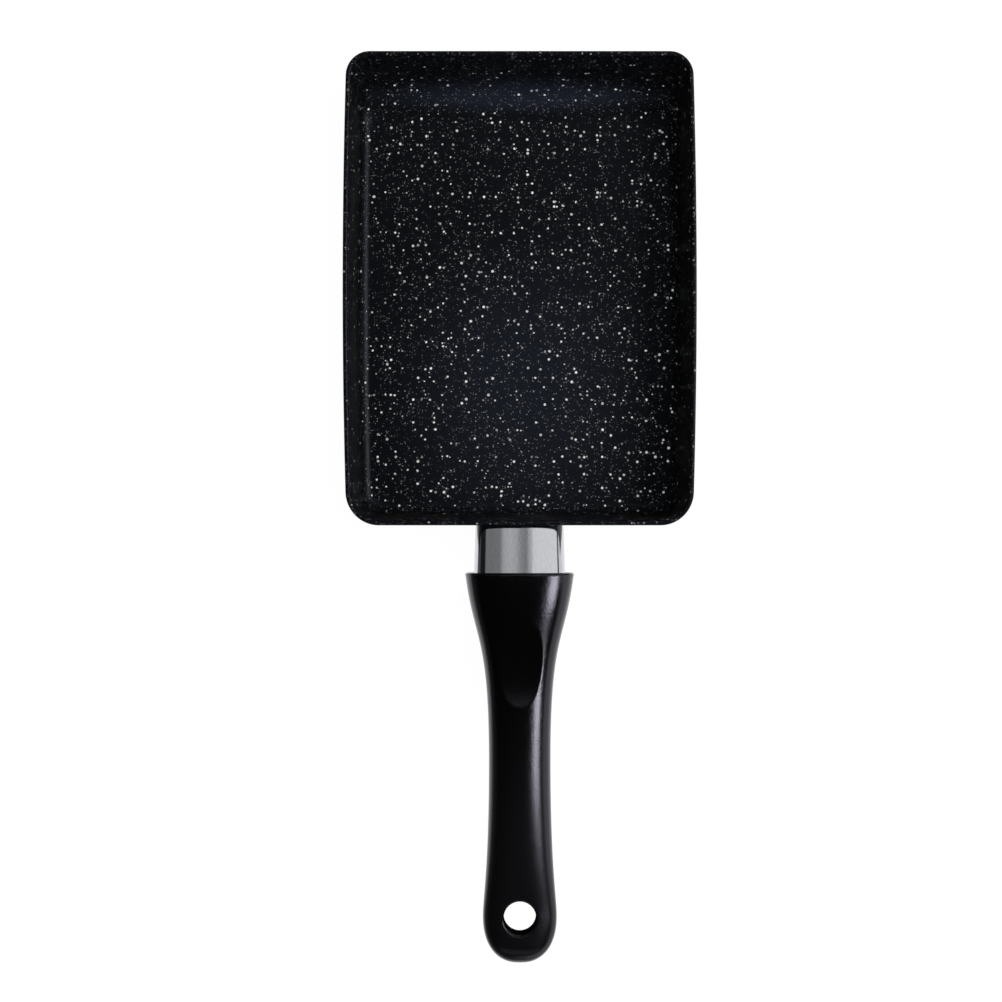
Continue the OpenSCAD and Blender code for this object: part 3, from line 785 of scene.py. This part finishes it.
# %% [markdown]
# ## Holes and thumb rest
# The tools that cut the handle are lathe shapes and one loft, all closed. The tool of the
# hanging hole is slim in the middle and flares at its ends, which rounds the hole's edges.
# The screw's socket, hole and well stand square to the pan's wall. The thumb rest needs no
# tool: a formula gives its height along the handle, and points above it come down to it.

# %% Tools for the holes
HANG_R, HANG_AT, HANG_ROUND, BORE_EDGE = 6.75, HANDLE_L - 19.3, 1.2, 0.45


def lathe(name, profile, count, place=Matrix()):
    """Turns a profile of [radius, height] pairs into a closed shape, radius 0 left out."""
    piece = loft(name, circles(profile, count))
    piece.data.transform(place)
    return piece


def make_hole_tool():
    z = float(middle_z(HANG_AT))
    top, bottom = z + TAIL_H * CROWN_SHARE, z - TAIL_H * (1 - CROWN_SHARE)
    turns = np.radians(np.linspace(0, 90, 9))
    flare = [
        (HANG_R + HANG_ROUND * (1 - math.sin(a)), HANG_ROUND * (1 - math.cos(a))) for a in turns
    ]
    profile = [(HANG_R + HANG_ROUND, bottom - 5)]
    profile += [(r, bottom + h) for r, h in flare]
    profile += [(r, top - h) for r, h in flare[::-1]]
    profile.append((HANG_R + HANG_ROUND, top + 5))
    shift = Matrix.Translation((0, (FRONT_Y - HANG_AT) * MM, 0))
    return lathe("hole_tool", profile, 96, shift)


def at_wall(out=0.0):
    """Places a shape square to the pan's wall: its own Z points straight out of it."""
    turn = Matrix.Rotation(math.radians(90 + NEAR_LEAN), 4, "X")
    foot = Matrix.Translation(Vector(WALL_POINT) * MM)
    return foot @ turn @ Matrix.Translation((0, 0, out * MM))


SEAT_AT = 12.0
SEAT_D = (WALL_Y - FRONT_Y + SEAT_AT) / math.cos(LEAN)
SCREW_R, WELL_R = 2.5, 5.5
CLEAR_R = SCREW_R + 0.3
SOCKET_W, SOCKET_H, SOCKET_D = 16.6, 14.6, 14.3


def make_screw_tools():
    shank = lathe("shank_tool", [(CLEAR_R, 0), (CLEAR_R, SEAT_D + 1)], 48, at_wall())
    well = lathe("well_tool", [(WELL_R, 0), (WELL_R, HANDLE_L / 2)], 64, at_wall(SEAT_D))
    w, h = SOCKET_W / 2, SOCKET_H / 2
    corners = np.array([[-w, -h], [w, -h], [w, h], [-w, h]])
    socket = loft("socket_tool", [
        np.column_stack([corners, np.full(4, z)]) for z in (-2.0, SOCKET_D)
    ])
    socket.data.transform(at_wall())
    return [socket, shank, well]


cut(handle, [make_hole_tool(), *make_screw_tools()])
print("Handle:", len(handle.data.polygons), "faces after its cuts")

# %% Soft edges
VOXEL = 0.5


def soften(piece):
    """Rounds every edge with small voxels, relaxes them, and returns the points in mm."""
    remesh = piece.modifiers.new("voxels", "REMESH")
    remesh.mode = "VOXEL"
    remesh.voxel_size = VOXEL * MM
    relax = piece.modifiers.new("relax", "SMOOTH")
    relax.factor = 0.5
    relax.iterations = 4
    return coordinates(settle(piece).data)


def back_to_loft(points):
    """Moves the points of the open surface on to the exact loft, and returns their share."""
    x, s, z = points[:, 0], FRONT_Y - points[:, 1], points[:, 2]
    width, height, squareness = (np.interp(s, STATIONS[:, 0], STATIONS[:, k]) for k in (1, 2, 3))
    middle = middle_z(s)
    up = z - middle
    half_h = height * np.where(up > 0, CROWN_SHARE, 1 - CROWN_SHARE)
    level = np.abs(x / (width / 2)) ** squareness + np.abs(up / half_h) ** squareness
    factor = level ** (-1 / squareness)
    # Only points that already lie on the open surface, away from every cut, go back to it.
    open_skin = 1 - fade(np.abs(factor - 1) * np.hypot(x, up), 0.25, 0.5)
    open_skin *= fade(s, 2.0, 4.0) * (1 - fade(s, HANDLE_L - 5, HANDLE_L - 2.5))
    hole_gap = np.hypot(x, s - HANG_AT) - HANG_R - HANG_ROUND
    open_skin *= fade(hole_gap, 0.2, 1.2)
    below = points - WALL_POINT
    along = below @ WALL_NORMAL
    well_gap = np.linalg.norm(below - along[:, None] * WALL_NORMAL, axis=1) - WELL_R
    open_skin *= np.where(up < 0, fade(well_gap, 0.6, 1.8), 1)
    points[:, 0] = x * (1 + (factor - 1) * open_skin)
    points[:, 2] = middle + up * (1 + (factor - 1) * open_skin)
    return float(np.mean(open_skin))


points = soften(handle)
share = back_to_loft(points)
print("Handle:", round(share * 100), "% of its points are on the exact loft")

# %% Thumb rest and finish
SCOOP_AT, SCOOP_REACH, SCOOP_DEPTH, SCOOP_EDGE = 38.8, 17.5, 1.37, 0.08


def press_scoop(points):
    """Brings whatever stands above the thumb rest down to it, with a slightly round edge."""
    s, z = FRONT_Y - points[:, 1], points[:, 2]
    middle = middle_z(s)
    crown = middle + np.interp(s, STATIONS[:, 0], STATIONS[:, 2]) * CROWN_SHARE
    scoop = crown - SCOOP_DEPTH * (1 - ((s - SCOOP_AT) / SCOOP_REACH) ** 2)
    within = (z > middle) & (np.abs(s - SCOOP_AT) < SCOOP_REACH + 1)
    share = np.clip(0.5 + (z - scoop) / SCOOP_EDGE / 2, 0, 1) * within
    points[:, 2] = z * (1 - share) + scoop * share - SCOOP_EDGE * share * (1 - share)


def dress_handle():
    axis = Vector((0, FRONT_Y - HANG_AT)) * MM
    bore_r = (HANG_R + BORE_EDGE) * MM
    dress(handle, phenolic, phenolic_bore, lambda face: (face.center.xy - axis).length < bore_r)
    smooth(handle)
    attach(handle, "root")
    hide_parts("handle")


press_scoop(points)
handle.data.vertices.foreach_set("co", (points * MM).ravel())
handle.data.update()
dress_handle()
print("Handle:", len(handle.data.polygons), "faces")

# %% [markdown]
# ## Steel and aluminium trim
# The bracket, the nut, the washers and the screw are zinc plated, which gives a cool grey
# metal with soft cloudy patches. The two studs are plain aluminium, peened by a hammer.
# Most of these sit out of sight inside the ferrule and the handle, and the CAD solids
# already have their shape, so they stay and get a finish.

# %% Zinc plate and bare aluminium
def make_metal(name, dark, light, roughness, patch_mm):
    material, tree, place = new_material(name)
    clouds = node(tree, "ShaderNodeTexNoise", {
        "Vector": place, "Scale": 1 / (patch_mm * MM), "Detail": 4.0, "Roughness": 0.6,
    })
    colour = node(tree, "ShaderNodeMix", {
        "Factor": clouds, "A": hex_colour(dark), "B": hex_colour(light),
    }, data_type="RGBA")
    rough = node(tree, "ShaderNodeMapRange", {
        "Value": clouds, "To Min": roughness - 0.06, "To Max": roughness + 0.06,
    })
    fine = node(tree, "ShaderNodeTexNoise", {
        "Vector": place, "Scale": 1 / (0.3 * MM), "Detail": 2.0,
    })
    bump = node(tree, "ShaderNodeBump", {"Height": fine, "Distance": 0.01 * MM, "Strength": 0.5})
    shader = node(tree, "ShaderNodeBsdfPrincipled", {
        "Base Color": colour, "Metallic": 1.0, "Roughness": rough, "Normal": bump,
    })
    node(tree, "ShaderNodeOutputMaterial", {"Surface": shader})
    return material


zinc_plate = make_metal("steel_zinc_plated", "#8f9399", "#c3c6ca", 0.32, 1.5)
bare_aluminium = make_metal("aluminium_cold_formed", "#a7a9ac", "#cfd1d4", 0.38, 2.5)
for name in ("bracket", "weld_nut", "weld_studs"):
    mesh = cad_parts[name].data
    mesh.materials.clear()
    mesh.materials.append(bare_aluminium if name == "weld_studs" else zinc_plate)
print("Bracket, nut and studs dressed")

# %% [markdown]
# ## The screw
# The handle's screw is a long M5 with a pan head and a cross recess. Its thread is rolled:
# a die pushes the metal into a spiral ridge. That is a shape with a rule, so a Geometry
# Nodes tree makes it: the plain shank is a stack of rings, and each point moves inward by a
# triangle wave of its height less its turn round the axis. Nothing has to be cut, and the
# skin stays in one piece.

# %% Screw blank
HEAD_R, HEAD_H, HEAD_EDGE = 4.5, 3.4, 0.25
WASHER_R, WASHER_T, SPRING_R, SPRING_T, SPRING_GAP = 5.0, 1.0, 4.4, 1.2, 0.8
SCREW_L = SEAT_D + WASHER_T + SPRING_T - 7.0
THREAD_L, THREAD_PITCH, THREAD_DEPTH = 18.0, 0.8, 0.45
SCREW_SIDES = 40


def screw_profile():
    """Radius and height from the tip to the top of the head, which sits on height 0."""
    tip = -SCREW_L
    rows = [(SCREW_R - 0.7, tip)]
    rows += [(SCREW_R, z) for z in np.arange(tip + 0.7, tip + THREAD_L, THREAD_PITCH / 8)]
    rows += [(SCREW_R, -0.3), (SCREW_R + 0.3, 0), (HEAD_R - HEAD_EDGE, 0), (HEAD_R, HEAD_EDGE)]
    crown = np.radians(np.linspace(0, 84, 12))
    top = HEAD_H / 2
    rows += [(HEAD_R * math.cos(a) ** 0.75, top + (HEAD_H - top) * math.sin(a)) for a in crown]
    return rows


# %% Rolled thread
THREAD = {
    "Pitch": THREAD_PITCH * MM,
    "Depth": THREAD_DEPTH * MM,
    "Run-out": (THREAD_L - SCREW_L) * MM,
    "Finish": zinc_plate,
}


def roll_thread(screw):
    tree, given = new_tree("rolled_thread", THREAD, on_mesh=True)
    place = node(tree, "GeometryNodeInputPosition")
    x, y, z = node(tree, "ShaderNodeSeparateXYZ", {"Vector": place}).outputs
    angle = node(tree, "ShaderNodeMath", {0: y, 1: x}, operation="ARCTAN2")
    turn = node(tree, "ShaderNodeMath", {0: angle, 1: 2 * math.pi}, operation="DIVIDE")
    level = node(tree, "ShaderNodeMath", {0: z, 1: given["Pitch"]}, operation="DIVIDE")
    phase = node(tree, "ShaderNodeMath", {0: level, 1: turn}, operation="SUBTRACT")
    ridge = node(tree, "ShaderNodeMath", {0: phase, 1: 0.5}, operation="PINGPONG")
    # The thread fades out over its last turn, where the die lifts off. It goes inward, so
    # its depth counts below zero.
    last = node(tree, "ShaderNodeMath", {
        0: given["Run-out"], 1: given["Pitch"],
    }, operation="SUBTRACT")
    fading = node(tree, "ShaderNodeMapRange", {
        "Value": z, "From Min": last, "From Max": given["Run-out"],
        "To Min": -2.0, "To Max": 0.0,
    })
    depth = node(tree, "ShaderNodeMath", {0: ridge, 1: fading}, operation="MULTIPLY")
    inward = node(tree, "ShaderNodeMath", {0: depth, 1: given["Depth"]}, operation="MULTIPLY")
    flat = node(tree, "ShaderNodeVectorMath", {0: place, 1: (1, 1, 0)}, operation="MULTIPLY")
    outward = node(tree, "ShaderNodeVectorMath", {0: flat}, operation="NORMALIZE")
    offset = node(tree, "ShaderNodeVectorMath", {0: outward, "Scale": inward}, operation="SCALE")
    moved = node(tree, "GeometryNodeSetPosition", {
        "Geometry": given["Geometry"], "Offset": offset,
    })
    end_tree(tree, given, moved)
    return run_tree(tree, THREAD, screw)


# %% Cross recess and place
def cross_ring(span, slot, z):
    """The outline of a cross, span wide from tip to tip."""
    a, b = span / 2, slot / 2
    quarter = np.array([[a, -b], [a, b], [b, b]])
    points = []
    for k in range(4):
        c, s = round(math.cos(k * math.pi / 2)), round(math.sin(k * math.pi / 2))
        points.extend(quarter @ np.array([[c, s], [-s, c]]))
    return np.column_stack([points, np.full(12, z)])


def make_screw():
    screw = roll_thread(lathe("handle_screw_m5", screw_profile(), SCREW_SIDES))
    recess = loft("recess_tool", [
        cross_ring(2.0, 0.8, HEAD_H - 2.3), cross_ring(3.0, 1.0, HEAD_H - 1.6),
        cross_ring(5.0, 1.3, HEAD_H + 0.2),
    ])
    cut(screw, [recess])
    screw.data.transform(at_wall(SEAT_D + WASHER_T + SPRING_T))
    smooth(screw, 28)
    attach(screw, "root")
    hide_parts("handle_screw")
    return screw


screw = make_screw()
print("Screw:", len(screw.data.polygons), "faces,", round(SCREW_L, 1), "mm under the head")

# %% [markdown]
# ## The washers
# The spring washer is a turn of square wire, cut on a slant and here pressed flat by the
# head. It follows a path, so a tree sweeps the wire along an arc and turns each point by
# its height, which slants both ends. The flat washer is stamped, which rounds one edge.

# %% Washers
SPRING_WASHER = {
    "Wire Width": (SPRING_R - CLEAR_R) * MM,
    "Wire Height": SPRING_T * MM,
    "Middle Radius": (SPRING_R + CLEAR_R) / 2 * MM,
    "Sweep": 2 * math.pi - 2 * SPRING_GAP / (SPRING_R + CLEAR_R),
    "Slant": math.tan(math.radians(30)),
    "Finish": zinc_plate,
}


def make_spring_washer():
    tree, given = new_tree("spring_washer_split", SPRING_WASHER)
    arc = node(tree, "GeometryNodeCurveArc", {
        "Resolution": 72, "Radius": given["Middle Radius"], "Sweep Angle": given["Sweep"],
        "Start Angle": math.radians(100),
    })
    upright = node(tree, "GeometryNodeSetCurveNormal", {"Curve": arc}, mode="Z_UP")
    wire = node(tree, "GeometryNodeCurvePrimitiveQuadrilateral", {
        "Width": given["Wire Width"], "Height": given["Wire Height"],
    })
    ring = node(tree, "GeometryNodeCurveToMesh", {
        "Curve": upright, "Profile Curve": wire, "Fill Caps": True,
    })
    place = node(tree, "GeometryNodeInputPosition")
    z = node(tree, "ShaderNodeSeparateXYZ", {"Vector": place}).outputs["Z"]
    lean = node(tree, "ShaderNodeMath", {0: z, 1: given["Slant"]}, operation="MULTIPLY")
    turn = node(tree, "ShaderNodeMath", {0: lean, 1: given["Middle Radius"]}, operation="DIVIDE")
    turned = node(tree, "ShaderNodeVectorRotate", {
        "Vector": place, "Angle": turn,
    }, rotation_type="Z_AXIS")
    slanted = node(tree, "GeometryNodeSetPosition", {"Geometry": ring, "Position": turned})
    end_tree(tree, given, slanted)
    return run_tree(tree, SPRING_WASHER)


def make_flat_washer():
    inner, outer, edge = CLEAR_R, WASHER_R, 0.2
    profile = [
        (inner, 0), (outer - 0.05, 0), (outer, 0.05), (outer, WASHER_T - edge),
        (outer - 0.3 * edge, WASHER_T - 0.3 * edge), (outer - edge, WASHER_T), (inner, WASHER_T),
    ]
    piece = loft("flat_washer_stamped", circles(profile, 72), tube=True)
    piece.data.materials.append(zinc_plate)
    return piece


def place_washer(piece, out, stands_for):
    piece.data.transform(at_wall(out))
    smooth(piece, 30)
    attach(piece, "root")
    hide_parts(stands_for)
    print(piece.name + ":", len(piece.data.polygons), "faces")


place_washer(make_flat_washer(), SEAT_D, "flat_washer")
place_washer(make_spring_washer(), SEAT_D + WASHER_T + SPRING_T / 2, "spring_washer")

# %% [markdown]
# ## The studio
# The object lies on a white table that rises into a white backdrop all round. The table is
# bright to the camera and to mirrors, but sends little light up on to the object, as in a
# product photograph whose background was lit apart. Two softboxes on the right draw the
# highlights along the handle, dim panels give the steel something to mirror, and a fill from
# above, which mirrors don't see, brings pale colours up to the level they are written at.

# %% Table and backdrop
TABLE_Z = -0.1
# Middle and reach in mm of the painted pool of light that mirrors see on the table.
PAINTED_POOL_ON_TABLE = (-96.0, (140.0, 240.0))
PAPER_LEVEL = 0.96


def make_paper():
    """Bright to the camera and to mirrors, dim as a lamp, and clear from below."""
    material, tree, place = new_material("white_paper_backdrop")
    ray = node(tree, "ShaderNodeLightPath").outputs
    seen = ray["Is Camera Ray"]
    for kind in ("Is Glossy Ray", "Is Transmission Ray"):
        seen = node(tree, "ShaderNodeMath", {0: seen, 1: ray[kind]}, operation="MAXIMUM")
    shaded = node(tree, "ShaderNodeBsdfDiffuse", {"Color": (0.1, 0.1, 0.1, 1)})
    # Mirrors see a painted pool of light on the table round the object, a painted glow that grows
    # towards the right, and a dimmer studio beyond it.
    near = oval(tree, place, *PAINTED_POOL_ON_TABLE, (1.0, 1.5), (0.95, 0.08), "LINEAR")
    # Painted glow: what mirrors see of the table grows brighter towards the right.
    across = node(tree, "ShaderNodeSeparateXYZ", {"Vector": place}).outputs["X"]
    right = node(tree, "ShaderNodeMapRange", {
        "Value": across, "From Min": 50 * MM, "From Max": 250 * MM, "To Min": 0.0, "To Max": 0.8,
    })
    # The painted light that mirrors see: the brighter of the painted pool and the painted glow.
    lit = node(tree, "ShaderNodeMath", {0: near, 1: right}, operation="MAXIMUM")
    glow = node(tree, "ShaderNodeMix", {"Factor": ray["Is Camera Ray"], "A": lit, "B": PAPER_LEVEL})
    bright = node(tree, "ShaderNodeEmission", {"Strength": glow})
    shown = node(tree, "ShaderNodeAddShader", {0: shaded, 1: bright})
    dim = node(tree, "ShaderNodeBsdfDiffuse", {"Color": (0.35, 0.35, 0.35, 1)})
    paper = node(tree, "ShaderNodeMixShader", {0: seen, 1: dim, 2: shown})
    # From below the table is clear, so that the pan's base can be looked at.
    below = node(tree, "ShaderNodeNewGeometry").outputs["Backfacing"]
    clear = node(tree, "ShaderNodeBsdfTransparent")
    sheet = node(tree, "ShaderNodeMixShader", {0: below, 1: paper, 2: clear})
    node(tree, "ShaderNodeOutputMaterial", {"Surface": sheet})
    return material


def make_backdrop():
    bend = np.radians(np.linspace(0, 80, 17))
    profile = [(r, TABLE_Z) for r in (10, 400, 1200, 2400)]
    profile += [(2400 + 1500 * math.sin(t), 1500 * (1 - math.cos(t))) for t in bend[1:]]
    table = loft("table", circles(profile, 96)[::-1], open_start=True)
    table.data.materials.append(make_paper())
    smooth(table)


make_backdrop()

# %% Lamps
def direction(tilt_x, tilt_y):
    """A direction upward, leaning by so many degrees to +X and +Y."""
    lean = (math.tan(math.radians(tilt_x)), math.tan(math.radians(tilt_y)), 1)
    return Vector(lean).normalized()


def add_panel(name, aim, tilts_x, tilts_y, distance, radiance, tint=(1, 1, 1), mirrored=True):
    """A softbox that spans these tilts, in degrees, as seen from the point it aims at."""
    left, right = (direction(tilt, sum(tilts_y) / 2) for tilt in tilts_x)
    away = (left + right).normalized()
    across = (right - left).normalized()
    middle = math.degrees(math.atan2(away.x, away.z))
    near, far = (direction(middle, tilt) for tilt in tilts_y)
    lamp = bpy.data.lights.new(name, "AREA")
    lamp.shape = "RECTANGLE"
    lamp.size = 2 * distance * MM * math.tan(left.angle(right) / 2)
    lamp.size_y = 2 * distance * MM * math.tan(near.angle(far) / 2)
    # An area lamp of 1 W gives a radiance of 1 / (pi * area).
    lamp.energy = radiance * math.pi * lamp.size * lamp.size_y
    lamp.color = tint
    holder = add_object(name, lamp)
    holder.location = (Vector(aim) + away * distance) * MM
    holder.rotation_euler = Matrix((across, away.cross(across), away)).transposed().to_euler()
    holder.visible_glossy = mirrored
    level = radiance * lamp.size * lamp.size_y * away.z / (distance * MM) ** 2 / math.pi
    print(name, "lights a white card to", round(level, 2))


COOL = (0.9, 0.95, 1.0)
HANDLE_MIDDLE, FERRULE_MIDDLE = (0, -110, 30), (0, -100, 25)
add_panel("softbox_right", HANDLE_MIDDLE, (29, 49), (0.5, 15), 1100, 12.5)
add_panel("softbox_right_low", HANDLE_MIDDLE, (47, 76), (16, 24), 1100, 2.4)
add_panel("sky_fill", (0, -40, 20), (-25, 25), (-25, 25), 1700, 2.0, mirrored=False)
# Three sheets of diffuser overlap on the far side, so that this one grows brighter to the right.
for edge, radiance in ((-35, 0.2), (-5, 0.3), (1.5, 0.35)):
    add_panel("panel_far_" + str(edge), FERRULE_MIDDLE, (edge, 60), (23, 40), 1100, radiance)
add_panel("panel_near", (0, 60, 10), (-42, 45), (-66, -44), 1100, 0.2, COOL)

# %% World
def make_world():
    """White to the camera, and a dark studio to everything else."""
    world = bpy.data.worlds.new("studio_dark")
    world.use_nodes = True
    tree = world.node_tree
    tree.nodes.clear()
    ray = node(tree, "ShaderNodeLightPath").outputs
    dark = node(tree, "ShaderNodeBackground", {"Color": (*COOL, 1), "Strength": 0.015})
    bright = node(tree, "ShaderNodeBackground", {"Color": (1, 1, 1, 1), "Strength": 1.0})
    both = node(tree, "ShaderNodeMixShader", {0: ray["Is Camera Ray"], 1: dark, 2: bright})
    node(tree, "ShaderNodeOutputWorld", {"Surface": both})
    bpy.context.scene.world = world


make_world()

# %% [markdown]
# ## The camera
# The photograph is taken from straight above, from about 1.3 m, with a long lens. One
# pixel is 0.42 mm at the height of the rim.

# %% Camera
CAMERA_UP, PIXEL, IMAGE, SENSOR = 1300.0, 0.4215, 1002, 36.0
CAMERA_AT = (-7.88, -81.46, RIM_H + CAMERA_UP)

camera_data = bpy.data.cameras.new("camera")
camera_data.sensor_width = SENSOR
camera_data.lens = SENSOR * CAMERA_UP / (PIXEL * IMAGE)
camera = add_object("camera", camera_data)
camera.location = Vector(CAMERA_AT) * MM
bpy.context.scene.camera = camera
bpy.context.scene.view_settings.view_transform = "Standard"
print("Lens:", round(camera_data.lens, 1), "mm")
